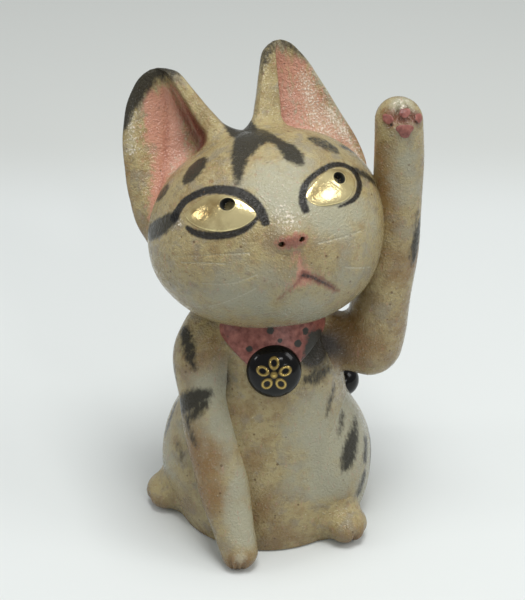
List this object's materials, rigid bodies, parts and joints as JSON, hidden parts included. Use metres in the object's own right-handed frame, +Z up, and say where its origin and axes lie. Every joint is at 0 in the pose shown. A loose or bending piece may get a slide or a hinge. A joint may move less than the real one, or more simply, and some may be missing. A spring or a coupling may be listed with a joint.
{
  "type": "beckoning cat figurine",
  "caption": "Seated stoneware cat with a raised left paw, cupped ears, gilded eyes, a bib with a medallion and a tail curled round its side.",
  "frame": {"origin": "middle of the flat base that the cat rests on", "axes": "+Z up, -Y the way the cat faces, +X the cat's left side, where the paw is raised"},
  "size_m": [0.0678, 0.0571, 0.1126],
  "materials": {
    "ash_glazed_clay": "satin ash glaze with brushed iron stripes",
    "toasted_clay": "satin ash glaze, toasted",
    "iron_black_glaze": "gloss",
    "gold_lustre": "metallic lustre",
    "rose_slip": "satin"
  },
  "bodies": {
    "root": {"body": "ash_glazed_clay", "head": "ash_glazed_clay", "left_ear": "ash_glazed_clay", "right_ear": "ash_glazed_clay", "left_eye": "gold_lustre", "right_eye": "gold_lustre", "nose": "rose_slip", "raised_arm": "toasted_clay", "palm_pad": "rose_slip", "toe_pads": "rose_slip", "front_leg": "ash_glazed_clay", "left_haunch": "ash_glazed_clay", "right_haunch": "ash_glazed_clay", "left_hind_foot": "toasted_clay", "right_hind_foot": "toasted_clay", "tail": "iron_black_glaze", "bib": "rose_slip", "medallion": "iron_black_glaze"}
  },
  "joints": []
}
